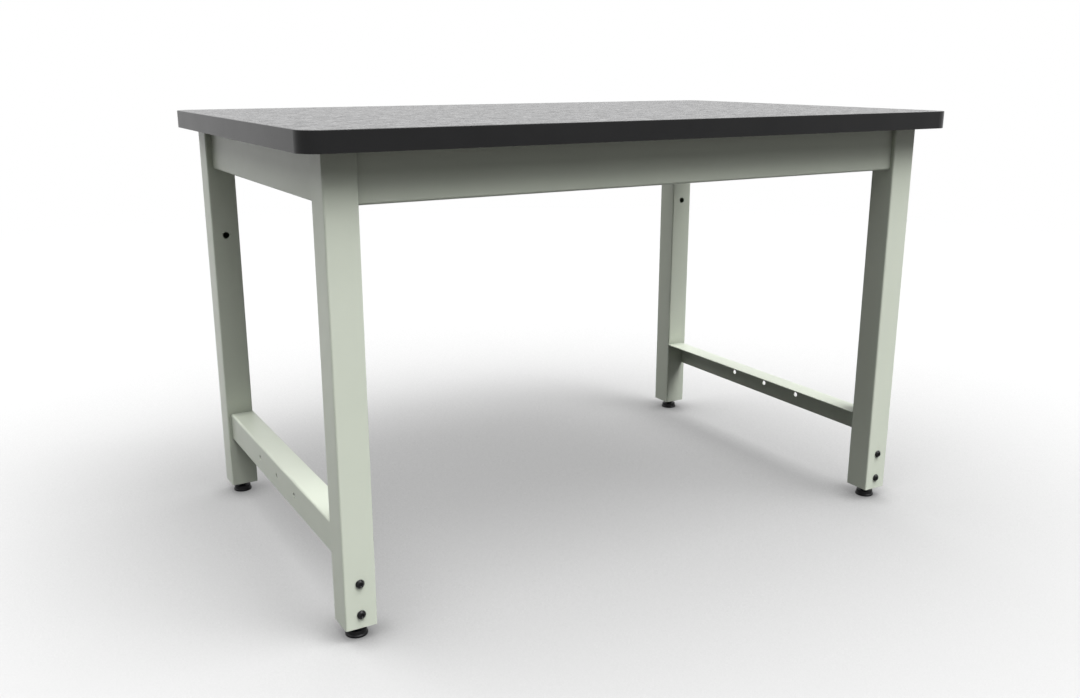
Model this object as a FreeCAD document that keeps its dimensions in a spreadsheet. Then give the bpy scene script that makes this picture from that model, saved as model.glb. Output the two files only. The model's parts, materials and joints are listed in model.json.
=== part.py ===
import FreeCAD, Part
import math
import os
from types import SimpleNamespace

import Sketcher
from FreeCAD import Placement, Rotation, Vector

# Laboratory bench: a laminated worktop on a painted steel frame with four levelling feet.
#
# Millimetres. X runs along the bench to the right, Y from front to back and Z up. The origin is
# on the floor under the middle of the worktop.
#
# The two end frames are square legs with a side apron and a lower rail welded between them. The
# front and rear aprons are bolted to the end frames, and the worktop is screwed down from below.
# Each leg holds an insert tube, fixed by two bolts, that carries a levelling foot.

DRIVING_SIZES = [
    ("bench_length", 1219.2, "worktop, left to right"),
    ("bench_depth", 762.0, "worktop, front to back"),
    ("bench_height", 762.0, "floor to working surface"),
    ("core_thickness", 28.6, "particle board core"),
    ("laminate_thickness", 0.8, "working surface sheet"),
    ("backer_thickness", 0.8, "balancing sheet under the core"),
    ("edge_band_thickness", 3.0, "band round the worktop's edge"),
    ("edge_band_arris", 1.0, "rounding of the band's upper edge"),
    ("worktop_corner_radius", 31.75, "corners seen from above"),
    ("side_overhang", 39.7, "worktop beyond the legs at each side"),
    ("front_overhang", 44.45, "worktop beyond the legs in front"),
    ("rear_overhang", 6.35, "worktop beyond the legs behind"),
    ("leg_width", 50.8, "square leg tube, outside"),
    ("leg_wall", 2.0, "leg tube wall"),
    ("leg_corner_radius", 3.0, "leg tube corners, outside"),
    ("foot_height", 21.0, "floor to the lower end of the legs"),
    ("sheet_gauge", 2.0, "folded sheet of aprons and rails"),
    ("bend_radius", 2.0, "inside radius of every fold"),
    ("apron_height", 76.2, "aprons, top to bottom"),
    ("apron_flange", 25.4, "upper flange that the worktop lies on"),
    ("apron_lip", 12.7, "lower stiffening lip"),
    ("front_apron_setback", 8.7, "front apron behind the legs' front faces"),
    ("side_apron_inset", 11.2, "side apron inside the legs' outer faces"),
    ("end_plate_thickness", 3.0, "plates welded in the ends of the long aprons"),
    ("apron_bolt_diameter", 8.0, "bolts that hold the long aprons"),
    ("apron_bolt_length", 16.0, "under the head"),
    ("apron_bolt_head", 12.7, "hexagon across flats"),
    ("apron_bolt_head_height", 5.3, "hexagon height"),
    ("apron_bolt_spacing", 38.1, "between the two bolts of a joint"),
    ("apron_nut_height", 6.7, "nuts welded inside the legs"),
    ("rail_rise", 151.0, "top of the lower rails above the legs' lower ends"),
    ("rail_height", 50.8, "vertical web of the lower rails"),
    ("rail_inset", 7.6, "web inside the legs' outer faces"),
    ("rail_hole_diameter", 10.0, "accessory holes in the web"),
    ("rail_hole_pitch", 101.6, "between the accessory holes"),
    ("access_hole_diameter", 12.7, "hole in each leg's inward face"),
    ("access_hole_rise", 508.0, "above the leg's lower end"),
    ("insert_length", 101.6, "insert tube with its foot plate"),
    ("insert_wall", 2.0, "insert tube wall"),
    ("insert_corner_radius", 2.5, "insert tube corners, outside"),
    ("insert_clearance", 0.3, "between insert and leg, each side"),
    ("foot_plate_thickness", 4.0, "plate that closes the insert"),
    ("leg_bolt_diameter", 8.0, "button head bolts through the leg wall"),
    ("leg_bolt_length", 16.0, "under the head"),
    ("leg_bolt_head", 14.0, "button head diameter"),
    ("leg_bolt_head_height", 4.4, "button head height"),
    ("leg_bolt_head_rim", 0.8, "straight rim under the dome"),
    ("leg_bolt_socket", 4.8, "hexagon socket across flats"),
    ("leg_bolt_socket_depth", 2.6, "hexagon socket depth"),
    ("leg_nut_across_flats", 12.7, "nuts of the leg bolts"),
    ("leg_nut_height", 6.7, "nuts of the leg bolts"),
    ("leg_bolt_rise", 22.4, "lower bolt above the leg's lower end"),
    ("leg_bolt_spacing", 50.8, "between the two bolts of a leg"),
    ("nut_across_flats", 14.3, "foot nuts and the stud's hexagon"),
    ("weld_nut_height", 8.0, "nuts on the foot plates"),
    ("jam_nut_height", 5.6, "thin nuts that lock the feet"),
    ("bolt_hole_clearance", 0.8, "hole diameter less bolt diameter"),
    ("thread_clearance", 0.1, "nut bore less thread diameter"),
    ("screw_diameter", 4.8, "worktop screws"),
    ("screw_length", 25.0, "under the head"),
    ("screw_head", 9.0, "pan head diameter"),
    ("screw_head_height", 3.0, "pan head height"),
    ("screw_line", 18.0, "worktop screws from an apron's outer face"),
    ("screw_end_margin", 60.0, "outer worktop screws from an apron's end"),
    ("foot_stud_diameter", 9.5, "threaded stud of the foot"),
    ("foot_travel", 25.0, "how far a foot screws out"),
    ("foot_pad_diameter", 35.0, "pad on the floor"),
    ("foot_pad_height", 10.4, "pad, bottom to top"),
    ("foot_pad_rim", 3.4, "straight rim of the pad"),
    ("foot_pad_shoulder", 1.4, "slope above the rim, bottom to top"),
    ("foot_pad_body", 32.0, "pad diameter above the slope"),
    ("foot_pad_crown", 31.0, "pad diameter at its top"),
    ("foot_pad_floor", 3.0, "pad under the stud's disc"),
    ("stud_disc_diameter", 14.0, "disc that the pad holds captive"),
    ("stud_disc_height", 2.5, "disc, bottom to top"),
    ("stud_collar_height", 2.8, "hexagon for the spanner"),
    ("turning_clearance", 0.1, "pad bore less stud diameter"),
]

RAIL_HOLE_COUNT = 3
LEG_BOLT_COUNT = 2
FRONT, REAR = -1, 1
LEFT, RIGHT = -1, 1
SIDE_NAMES = {LEFT: "left", RIGHT: "right"}
END_NAMES = {FRONT: "front", REAR: "rear"}


class Size:
    """A length that knows its number and the spreadsheet expression that gives it."""

    def __init__(self, value, text):
        self.value = value
        self.text = text

    def __add__(self, other):
        other = as_size(other)
        return Size(self.value + other.value, "(%s + %s)" % (self.text, other.text))

    def __sub__(self, other):
        other = as_size(other)
        return Size(self.value - other.value, "(%s - %s)" % (self.text, other.text))

    def __mul__(self, factor):
        return Size(self.value * factor, "(%s * (%r))" % (self.text, factor))

    def __truediv__(self, divisor):
        return Size(self.value / divisor, "(%s / %r)" % (self.text, divisor))

    def __neg__(self):
        return self * -1


def as_size(item):
    """Lets a plain number stand where a size is asked for."""
    if isinstance(item, Size):
        return item
    return Size(float(item), "(%r)" % float(item))


def fill_sheet(doc):
    """Writes the driving sizes to the spreadsheet and gives them back by name."""
    sheet = doc.addObject("Spreadsheet::Sheet", "Sizes")
    for row, (alias, value, note) in enumerate(DRIVING_SIZES, start=1):
        sheet.set("A%d" % row, alias)
        sheet.set("B%d" % row, str(value))
        sheet.set("C%d" % row, note)
        sheet.setAlias("B%d" % row, alias)
    doc.recompute()
    sizes = SimpleNamespace()
    for alias, _, _ in DRIVING_SIZES:
        setattr(sizes, alias, Size(float(sheet.get(alias)), "Sizes." + alias))
    return sizes


doc = FreeCAD.newDocument("lab_bench")
s = fill_sheet(doc)

# Places that several pieces share. Heights are above the floor, and frame places are measured from
# the middle of the frame, which lies frame_middle behind the middle of the worktop.
worktop_thickness = s.core_thickness + s.laminate_thickness + s.backer_thickness
frame_top = s.bench_height - worktop_thickness
leg_length = frame_top - s.foot_height
frame_depth = s.bench_depth - s.front_overhang - s.rear_overhang
frame_middle = (s.front_overhang - s.rear_overhang) / 2
leg_face_x = s.bench_length / 2 - s.side_overhang
leg_face_y = frame_depth / 2
leg_x = leg_face_x - s.leg_width / 2
leg_y = leg_face_y - s.leg_width / 2
long_apron_length = (leg_x - s.leg_width / 2) * 2
side_part_length = (leg_y - s.leg_width / 2) * 2
long_apron_face = leg_face_y - s.front_apron_setback
side_apron_face = leg_face_x - s.side_apron_inset
rail_face = leg_face_x - s.rail_inset
insert_width = s.leg_width - s.leg_wall * 2 - s.insert_clearance * 2
apron_bolt_line = (s.sheet_gauge + s.apron_flange) / 2
apron_bolt_drop = (s.apron_height - s.apron_bolt_spacing) / 2
outer_bend = s.bend_radius + s.sheet_gauge
long_screw_x = long_apron_length / 2 - s.screw_end_margin
side_screw_y = side_part_length / 2 - s.screw_end_margin


# Objects and placements

def new_body(label, x=0, y=0, z=0, turn=0):
    """A body of its own at a bound place, turned about Z by whole degrees."""
    body = doc.addObject("PartDesign::Body", label)
    body.Label = label
    body.Placement = Placement(Vector(0, 0, 0), Rotation(Vector(0, 0, 1), turn))
    for axis, place in (("x", x), ("y", y), ("z", z)):
        body.setExpression("Placement.Base." + axis, as_size(place).text)
    return body


def origin_item(body, role):
    """One of the body's own origin planes or axes."""
    return next(item for item in body.Origin.OriginFeatures if item.Role == role)


def new_sketch(body, name, plane, shift=0, lift=0):
    """A sketch on an origin plane, shifted along its vertical and lifted along its normal."""
    sketch = body.newObject("Sketcher::SketchObject", name)
    sketch.AttachmentSupport = [(origin_item(body, plane), "")]
    sketch.MapMode = "FlatFace"
    sketch.setExpression("AttachmentOffset.Base.y", as_size(shift).text)
    sketch.setExpression("AttachmentOffset.Base.z", as_size(lift).text)
    return sketch


# Sketch geometry

def bind(sketch, kind, parts, size):
    """Adds a dimension that follows the spreadsheet."""
    size = as_size(size)
    index = sketch.addConstraint(Sketcher.Constraint(kind, *parts, size.value))
    sketch.setExpression("Constraints[%d]" % index, size.text)


def pin(sketch, geometry, point, x, y):
    """Dimensions a point from the sketch's origin."""
    bind(sketch, "DistanceX", (-1, 1, geometry, point), x)
    bind(sketch, "DistanceY", (-1, 1, geometry, point), y)


def draw_circle(sketch, x, y, diameter):
    """A circle dimensioned by its centre and diameter."""
    centre = Vector(as_size(x).value, as_size(y).value, 0)
    circle = sketch.addGeometry(Part.Circle(centre, Vector(0, 0, 1), diameter.value / 2), False)
    pin(sketch, circle, 3, x, y)
    bind(sketch, "Diameter", (circle,), diameter)


def draw_hexagon(sketch, x, y, across_flats):
    """A regular hexagon with two level sides, on a construction circle through its corners."""
    centre = Vector(as_size(x).value, as_size(y).value, 0)
    outline = Part.Circle(centre, Vector(0, 0, 1), across_flats.value / 3 ** 0.5)
    circle = sketch.addGeometry(outline, True)
    corners = [outline.value(turn * math.pi / 3) for turn in range(6)]
    sides = []
    for here, there in zip(corners, corners[1:] + corners[:1]):
        sides.append(sketch.addGeometry(Part.LineSegment(here, there), False))
    for side, following in zip(sides, sides[1:] + sides[:1]):
        sketch.addConstraint(Sketcher.Constraint("Coincident", side, 2, following, 1))
        sketch.addConstraint(Sketcher.Constraint("PointOnObject", side, 2, circle))
    for side in sides[1:]:
        sketch.addConstraint(Sketcher.Constraint("Equal", sides[0], side))
    sketch.addConstraint(Sketcher.Constraint("Horizontal", sides[1]))
    pin(sketch, circle, 3, x, y)
    bind(sketch, "Diameter", (circle,), across_flats * (2 / 3 ** 0.5))


def draw_profile(sketch, points, dome=None):
    """A closed outline through dimensioned points.

    dome is the number of a side that is an arc about a centre on the sketch's horizontal axis.
    """
    places = [Vector(as_size(x).value, as_size(y).value, 0) for x, y in points]
    sides = []
    for number, (here, there) in enumerate(zip(places, places[1:] + places[:1])):
        side = arc_about_axis(here, there) if number == dome else Part.LineSegment(here, there)
        sides.append(sketch.addGeometry(side, False))
    for side, following, (x, y) in zip(sides, sides[1:] + sides[:1], points):
        pin(sketch, side, 1, x, y)
        sketch.addConstraint(Sketcher.Constraint("Coincident", side, 2, following, 1))
    if dome is not None:
        sketch.addConstraint(Sketcher.Constraint("PointOnObject", sides[dome], 3, -1))


def arc_about_axis(here, there):
    """The arc, turning left from here to there, whose centre lies on the horizontal axis."""
    centre_x = (there.dot(there) - here.dot(here)) / (2 * (there.x - here.x))
    centre = Vector(centre_x, 0, 0)
    circle = Part.Circle(centre, Vector(0, 0, 1), (here - centre).Length)
    return Part.ArcOfCircle(circle, circle.parameter(here), circle.parameter(there))


def draw_outline(sketch, sides, bends=None):
    """A closed outline whose sides run upright and level by turns.

    Each side is given by where it crosses the other axis: x for the first side, y for the second.
    bends maps a side's number to the radius of the corner at its end.
    """
    bends = bends or {}
    count = len(sides)
    corners = []
    for number in range(count):
        here = sides[number].value
        there = sides[(number + 1) % count].value
        corners.append(Vector(here, there, 0) if number % 2 == 0 else Vector(there, here, 0))
    along = [(corners[number] - corners[number - 1]).normalize() for number in range(count)]
    reach = [bends[number].value if number in bends else 0 for number in range(count)]
    lines = []
    for number in range(count):
        start = corners[number - 1] + along[number] * reach[number - 1]
        end = corners[number] - along[number] * reach[number]
        line = sketch.addGeometry(Part.LineSegment(start, end), False)
        upright = number % 2 == 0
        sketch.addConstraint(Sketcher.Constraint("Vertical" if upright else "Horizontal", line))
        bind(sketch, "DistanceX" if upright else "DistanceY", (-1, 1, line, 1), sides[number])
        lines.append(line)
    for number in range(count):
        following = (number + 1) % count
        if number in bends:
            onward = along[following]
            arc = corner_arc(corners[number], along[number], onward, reach[number])
            index = sketch.addGeometry(arc, False)
            turns_left = along[number].cross(onward).z > 0
            first, last = (1, 2) if turns_left else (2, 1)
            sketch.addConstraint(Sketcher.Constraint("Tangent", lines[number], 2, index, first))
            sketch.addConstraint(Sketcher.Constraint("Tangent", index, last, lines[following], 1))
            bind(sketch, "Radius", (index,), bends[number])
        else:
            sketch.addConstraint(
                Sketcher.Constraint("Coincident", lines[number], 2, lines[following], 1))


def corner_arc(corner, inward, onward, radius):
    """The arc that rounds a square corner between two directions of travel."""
    centre = corner - inward * radius + onward * radius
    circle = Part.Circle(centre, Vector(0, 0, 1), radius)
    first = circle.parameter(corner - inward * radius)
    last = circle.parameter(corner + onward * radius)
    if inward.cross(onward).z > 0:
        return Part.ArcOfCircle(circle, first, last)
    return Part.ArcOfCircle(circle, last, first)


def draw_rounded_box(sketch, width, depth, radius):
    """A rectangle about the sketch's origin with rounded corners."""
    sides = [width / 2, depth / 2, width / -2, depth / -2]
    draw_outline(sketch, sides, dict.fromkeys(range(4), radius))


# Features

def pad(body, sketch, name, length, reverse=False, symmetric=False):
    """Raises a sketch along its normal, against it, or to both sides."""
    feature = body.newObject("PartDesign::Pad", name)
    feature.Profile = sketch
    feature.setExpression("Length", as_size(length).text)
    feature.Reversed = reverse
    if symmetric:
        feature.SideType = "Symmetric"
    doc.recompute()
    return feature


def pocket(body, sketch, name, depth=None, along_normal=False):
    """Cuts a sketch against its normal or along it, right through if no depth is given."""
    before = body.Shape.Volume
    feature = body.newObject("PartDesign::Pocket", name)
    feature.Profile = sketch
    feature.Reversed = along_normal
    if depth is None:
        feature.Type = "ThroughAll"
    else:
        feature.setExpression("Length", as_size(depth).text)
    doc.recompute()
    if not body.Shape.Volume < before:
        raise RuntimeError("%s cuts nothing out of %s" % (name, body.Label))
    return feature


def revolve(body, sketch, name, axis):
    """Turns a sketch once round its own horizontal or vertical axis."""
    feature = body.newObject("PartDesign::Revolution", name)
    feature.Profile = sketch
    feature.ReferenceAxis = (sketch, [axis])
    feature.Angle = 360
    doc.recompute()
    return feature


def edge_names(feature, keep):
    """The names of a feature's edges that keep says yes to."""
    return ["Edge%d" % number for number, edge in enumerate(feature.Shape.Edges, start=1) if keep(edge)]


def round_edges(body, base, name, keep, radius):
    """Rounds chosen edges of the last feature."""
    feature = body.newObject("PartDesign::Fillet", name)
    feature.Base = (base, edge_names(base, keep))
    feature.setExpression("Radius", as_size(radius).text)
    doc.recompute()
    return feature


def bevel_edges(body, base, name, keep, size):
    """Bevels chosen edges of the last feature."""
    feature = body.newObject("PartDesign::Chamfer", name)
    feature.Base = (base, edge_names(base, keep))
    feature.setExpression("Size", as_size(size).text)
    doc.recompute()
    return feature


def repeat_row(body, originals, name, axis, spacing, count):
    """Repeats features in a row along one of the body's axes."""
    row = body.newObject("PartDesign::LinearPattern", name)
    row.Originals = originals
    row.Direction = (origin_item(body, axis), [""])
    row.Mode = "Spacing"
    row.setExpression("Offset", spacing.text)
    row.Occurrences = count
    return row


def mirror(body, originals, name, plane):
    """Repeats features on the other side of one of the body's planes."""
    copy = body.newObject("PartDesign::Mirrored", name)
    copy.Originals = originals
    copy.MirrorPlane = (origin_item(body, plane), [""])
    return copy


def repeat_at_legs(body, originals, rows=()):
    """Repeats features in rows, then to all four legs about the middle of the frame."""
    everywhere = body.newObject("PartDesign::MultiTransform", "at_all_legs")
    everywhere.Originals = originals
    steps = [repeat_row(body, [], *row) for row in rows]
    steps.append(mirror(body, [], "left_to_right", "YZ_Plane"))
    steps.append(mirror(body, [], "front_to_rear", "XZ_Plane"))
    everywhere.Transformations = steps
    body.Tip = everywhere
    doc.recompute()
    return everywhere


# Worktop

def worktop_screw_sites():
    """Where the worktop screws stand, from the middle of the frame."""
    sites = []
    for end in (FRONT, REAR):
        for x in (-long_screw_x, long_screw_x / -3, long_screw_x / 3, long_screw_x):
            sites.append((x, (long_apron_face - s.screw_line) * end))
    for side in (LEFT, RIGHT):
        for y in (-side_screw_y, side_screw_y):
            sites.append(((side_apron_face - s.screw_line) * side, y))
    return sites


def worktop_layer(label, thickness, z):
    """One rounded sheet of the worktop, inside the edge band."""
    body = new_body(label, z=z)
    sketch = new_sketch(body, "outline", "XY_Plane")
    band = s.edge_band_thickness
    draw_rounded_box(sketch, s.bench_length - band * 2, s.bench_depth - band * 2,
                     s.worktop_corner_radius - band)
    pad(body, sketch, "sheet", thickness)
    return body


def drill_worktop_layer(body, name, diameter, depth):
    """Drills the screws' holes up into a layer from its lower face."""
    sketch = new_sketch(body, name, "XY_Plane")
    for x, y in worktop_screw_sites():
        draw_circle(sketch, x, y + frame_middle, diameter)
    pocket(body, sketch, name + "_cut", depth, along_normal=True)


def build_worktop():
    """The core with its two sheets, and the band round all three."""
    core_base = frame_top + s.backer_thickness
    core = worktop_layer("worktop_core", s.core_thickness, core_base)
    bite = s.screw_length - s.sheet_gauge - s.backer_thickness
    drill_worktop_layer(core, "pilot_holes", s.screw_diameter + s.thread_clearance, bite + 1)

    backer = worktop_layer("worktop_backer", s.backer_thickness, frame_top)
    drill_worktop_layer(backer, "screw_holes", s.screw_diameter + s.bolt_hole_clearance, None)

    worktop_layer("worktop_laminate", s.laminate_thickness, core_base + s.core_thickness)

    band = new_body("worktop_edge_band", z=frame_top)
    sketch = new_sketch(band, "ring", "XY_Plane")
    draw_rounded_box(sketch, s.bench_length, s.bench_depth, s.worktop_corner_radius)
    inset = s.edge_band_thickness
    draw_rounded_box(sketch, s.bench_length - inset * 2, s.bench_depth - inset * 2,
                     s.worktop_corner_radius - inset)
    ring = pad(band, sketch, "band", worktop_thickness)

    def outer_upper(edge):
        box = edge.BoundBox
        reaches_side = max(box.XMax, -box.XMin) > s.bench_length.value / 2 - 0.01
        reaches_front = max(box.YMax, -box.YMin) > s.bench_depth.value / 2 - 0.01
        return box.ZMin > worktop_thickness.value - 0.01 and (reaches_side or reaches_front)

    round_edges(band, ring, "arris", outer_upper, s.edge_band_arris)


def build_worktop_screws():
    """Pan head screws up through the apron flanges into the core, as separate solids."""
    body = new_body("worktop_screws", y=frame_middle, z=frame_top - s.sheet_gauge)
    shanks = new_sketch(body, "shanks", "XY_Plane")
    heads = new_sketch(body, "heads", "XY_Plane")
    for x, y in worktop_screw_sites():
        draw_circle(shanks, x, y, s.screw_diameter)
        draw_circle(heads, x, y, s.screw_head)
    pad(body, shanks, "shank", s.screw_length)
    last = pad(body, heads, "head", s.screw_head_height, reverse=True)

    def is_tip(edge):
        return edge.BoundBox.ZMin > s.screw_length.value - 0.01

    def is_crown(edge):
        return edge.BoundBox.ZMax < 0.01 - s.screw_head_height.value

    last = bevel_edges(body, last, "tip", is_tip, s.screw_diameter / 3)
    bevel_edges(body, last, "crown", is_crown, s.screw_head_height / 3)


# Legs and inserts

def leg_bolt_heights():
    """The two leg bolts, from the lower end of the leg."""
    return [s.leg_bolt_rise + s.leg_bolt_spacing * number for number in range(LEG_BOLT_COUNT)]


def leg_place(side, end):
    """Where a leg stands."""
    return {"x": leg_x * side, "y": leg_y * end + frame_middle, "z": s.foot_height}


def build_leg(side, end):
    """A square tube, open at both ends, with the holes of one corner of the frame."""
    body = new_body("leg_%s_%s" % (END_NAMES[end], SIDE_NAMES[side]), **leg_place(side, end))
    section = new_sketch(body, "section", "XY_Plane")
    draw_rounded_box(section, s.leg_width, s.leg_width, s.leg_corner_radius)
    bore = s.leg_width - s.leg_wall * 2
    draw_rounded_box(section, bore, bore, s.leg_corner_radius - s.leg_wall)
    pad(body, section, "tube", leg_length)

    bolts = new_sketch(body, "leg_bolt_holes", "XZ_Plane")
    for rise in leg_bolt_heights():
        draw_circle(bolts, 0, rise, s.leg_bolt_diameter + s.bolt_hole_clearance)
    pocket(body, bolts, "leg_bolt_cut", along_normal=end == FRONT)

    access = new_sketch(body, "access_hole", "XZ_Plane")
    draw_circle(access, 0, s.access_hole_rise, s.access_hole_diameter)
    pocket(body, access, "access_cut", along_normal=end == REAR)

    apron = new_sketch(body, "apron_bolt_holes", "YZ_Plane")
    line = (long_apron_face - apron_bolt_line - leg_y) * end
    for drop in (apron_bolt_drop, apron_bolt_drop + s.apron_bolt_spacing):
        draw_circle(apron, line, leg_length - drop, s.apron_bolt_diameter + s.bolt_hole_clearance)
    pocket(body, apron, "apron_bolt_cut", along_normal=side == LEFT)


def build_leg_insert(side, end):
    """The tube inside the leg's lower end, held by the leg bolts."""
    body = new_body("leg_insert_%s_%s" % (END_NAMES[end], SIDE_NAMES[side]), **leg_place(side, end))
    section = new_sketch(body, "section", "XY_Plane", lift=s.foot_plate_thickness)
    draw_rounded_box(section, insert_width, insert_width, s.insert_corner_radius)
    bore = insert_width - s.insert_wall * 2
    draw_rounded_box(section, bore, bore, s.insert_corner_radius - s.insert_wall)
    pad(body, section, "tube", s.insert_length - s.foot_plate_thickness)

    bolts = new_sketch(body, "leg_bolt_holes", "XZ_Plane")
    for rise in leg_bolt_heights():
        draw_circle(bolts, 0, rise, s.leg_bolt_diameter + s.bolt_hole_clearance)
    pocket(body, bolts, "leg_bolt_cut", along_normal=end == FRONT)


def build_foot_plate(side, end):
    """The plate under the insert, which the levelling foot's stud passes through."""
    body = new_body("foot_plate_%s_%s" % (END_NAMES[end], SIDE_NAMES[side]), **leg_place(side, end))
    outline = new_sketch(body, "outline", "XY_Plane")
    draw_rounded_box(outline, insert_width, insert_width, s.insert_corner_radius)
    draw_circle(outline, 0, 0, s.foot_stud_diameter + s.bolt_hole_clearance)
    pad(body, outline, "plate", s.foot_plate_thickness)


def build_foot_nuts(label, height, lift, downward):
    """One hexagon nut on each foot's axis, as separate solids."""
    body = new_body(label, y=frame_middle, z=s.foot_height)
    section = new_sketch(body, "section", "XY_Plane", lift=lift)
    draw_hexagon(section, -leg_x, -leg_y, s.nut_across_flats)
    draw_circle(section, -leg_x, -leg_y, s.foot_stud_diameter + s.thread_clearance)
    nut = pad(body, section, "nut", height, reverse=downward)
    repeat_at_legs(body, [nut])


def build_leg_bolt_nuts():
    """The nuts welded inside the inserts for the leg bolts, as separate solids."""
    body = new_body("leg_bolt_nuts", y=frame_middle, z=s.foot_height)
    seat = insert_width / 2 - s.insert_wall + leg_y
    section = new_sketch(body, "section", "XZ_Plane", lift=seat)
    draw_hexagon(section, -leg_x, s.leg_bolt_rise, s.leg_nut_across_flats)
    draw_circle(section, -leg_x, s.leg_bolt_rise, s.leg_bolt_diameter + s.thread_clearance)
    nut = pad(body, section, "nut", s.leg_nut_height, reverse=True)
    repeat_at_legs(body, [nut], [("up_the_leg", "Z_Axis", s.leg_bolt_spacing, LEG_BOLT_COUNT)])


def build_leg_bolts():
    """Button head bolts through the legs' front and rear faces, as separate solids."""
    body = new_body("leg_bolts", y=frame_middle, z=s.foot_height)
    profile = new_sketch(body, "profile", "YZ_Plane", shift=s.leg_bolt_rise, lift=-leg_x)
    seat = -leg_face_y
    tip = seat + s.leg_bolt_length
    crown = seat - s.leg_bolt_head_height
    points = [
        (tip, 0),
        (tip, s.leg_bolt_diameter / 2),
        (seat, s.leg_bolt_diameter / 2),
        (seat, s.leg_bolt_head / 2),
        (seat - s.leg_bolt_head_rim, s.leg_bolt_head / 2),
        (crown, s.leg_bolt_socket * 0.75),
        (crown, 0),
    ]
    draw_profile(profile, points, dome=4)
    turned = revolve(body, profile, "bolt", "H_Axis")

    socket = new_sketch(body, "socket", "XZ_Plane", lift=-crown)
    draw_hexagon(socket, -leg_x, s.leg_bolt_rise, s.leg_bolt_socket)
    cut = pocket(body, socket, "socket_cut", s.leg_bolt_socket_depth)
    repeat_at_legs(body, [turned, cut],
                   [("up_the_leg", "Z_Axis", s.leg_bolt_spacing, LEG_BOLT_COUNT)])


# Aprons and rails

def folded_channel(body, length):
    """An apron's folded section: an upright web with an upper flange and a lower lip."""
    section = new_sketch(body, "section", "YZ_Plane")
    gauge = s.sheet_gauge
    sides = [
        as_size(0),
        -s.apron_height,
        s.apron_lip,
        gauge - s.apron_height,
        gauge,
        -gauge,
        s.apron_flange,
        as_size(0),
    ]
    bends = {0: outer_bend, 3: s.bend_radius, 4: s.bend_radius, 7: outer_bend}
    draw_outline(section, sides, bends)
    pad(body, section, "channel", length, symmetric=True)


def drill_flange(body, places):
    """The worktop screws' holes along an apron's upper flange."""
    holes = new_sketch(body, "screw_holes", "XY_Plane")
    for x in places:
        draw_circle(holes, x, s.screw_line, s.screw_diameter + s.bolt_hole_clearance)
    pocket(body, holes, "screw_cut", s.sheet_gauge)


def long_part_turn(end):
    """Front parts face forwards as drawn, rear parts are turned round."""
    return 0 if end == FRONT else 180


def side_part_turn(side):
    """Side parts are drawn like front ones and turned to face outwards."""
    return 90 * side


def build_long_apron(end):
    """The apron along the front or rear, between the legs."""
    body = new_body("%s_apron" % END_NAMES[end], y=long_apron_face * end + frame_middle,
                    z=frame_top, turn=long_part_turn(end))
    folded_channel(body, long_apron_length)
    drill_flange(body, (-long_screw_x, long_screw_x / -3, long_screw_x / 3, long_screw_x))


def build_apron_end_plate(side, end):
    """The plate welded in one end of a long apron and bolted to the leg."""
    body = new_body("apron_end_plate_%s_%s" % (END_NAMES[end], SIDE_NAMES[side]),
                    y=long_apron_face * end + frame_middle, z=frame_top, turn=long_part_turn(end))
    local_side = -side * end
    outline = new_sketch(body, "outline", "YZ_Plane", lift=long_apron_length / 2 * local_side)
    sides = [s.sheet_gauge, s.sheet_gauge - s.apron_height, s.apron_flange, -s.sheet_gauge]
    draw_outline(outline, sides, {0: s.bend_radius * 1.5, 3: s.bend_radius * 1.5})
    for drop in (apron_bolt_drop, apron_bolt_drop + s.apron_bolt_spacing):
        draw_circle(outline, apron_bolt_line, -drop, s.apron_bolt_diameter + s.bolt_hole_clearance)
    pad(body, outline, "plate", s.end_plate_thickness, reverse=local_side > 0)


def build_apron_bolts():
    """Hexagon head bolts through the end plates into the legs, as separate solids."""
    body = new_body("apron_bolts", y=frame_middle, z=frame_top)
    line = apron_bolt_line - long_apron_face
    lower = -apron_bolt_drop - s.apron_bolt_spacing
    seat = s.end_plate_thickness - long_apron_length / 2
    shank = new_sketch(body, "shank_section", "YZ_Plane", lift=seat)
    draw_circle(shank, line, lower, s.apron_bolt_diameter)
    shank_pad = pad(body, shank, "shank", s.apron_bolt_length, reverse=True)
    head = new_sketch(body, "head_section", "YZ_Plane", lift=seat)
    draw_hexagon(head, line, lower, s.apron_bolt_head)
    head_pad = pad(body, head, "head", s.apron_bolt_head_height)
    repeat_at_legs(body, [shank_pad, head_pad], [("up_the_leg", "Z_Axis", s.apron_bolt_spacing, 2)])


def build_apron_bolt_nuts():
    """The nuts welded inside the legs for the apron bolts, as separate solids."""
    body = new_body("apron_bolt_nuts", y=frame_middle, z=frame_top)
    line = apron_bolt_line - long_apron_face
    lower = -apron_bolt_drop - s.apron_bolt_spacing
    section = new_sketch(body, "section", "YZ_Plane", lift=long_apron_length / -2 - s.leg_wall)
    draw_hexagon(section, line, lower, s.apron_bolt_head)
    draw_circle(section, line, lower, s.apron_bolt_diameter + s.thread_clearance)
    nut = pad(body, section, "nut", s.apron_nut_height, reverse=True)
    repeat_at_legs(body, [nut], [("up_the_leg", "Z_Axis", s.apron_bolt_spacing, 2)])


def build_side_apron(side):
    """The apron across one end of the bench, welded between its legs."""
    body = new_body("%s_apron" % SIDE_NAMES[side], x=side_apron_face * side, y=frame_middle,
                    z=frame_top, turn=side_part_turn(side))
    folded_channel(body, side_part_length)
    drill_flange(body, (-side_screw_y, side_screw_y))


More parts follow.
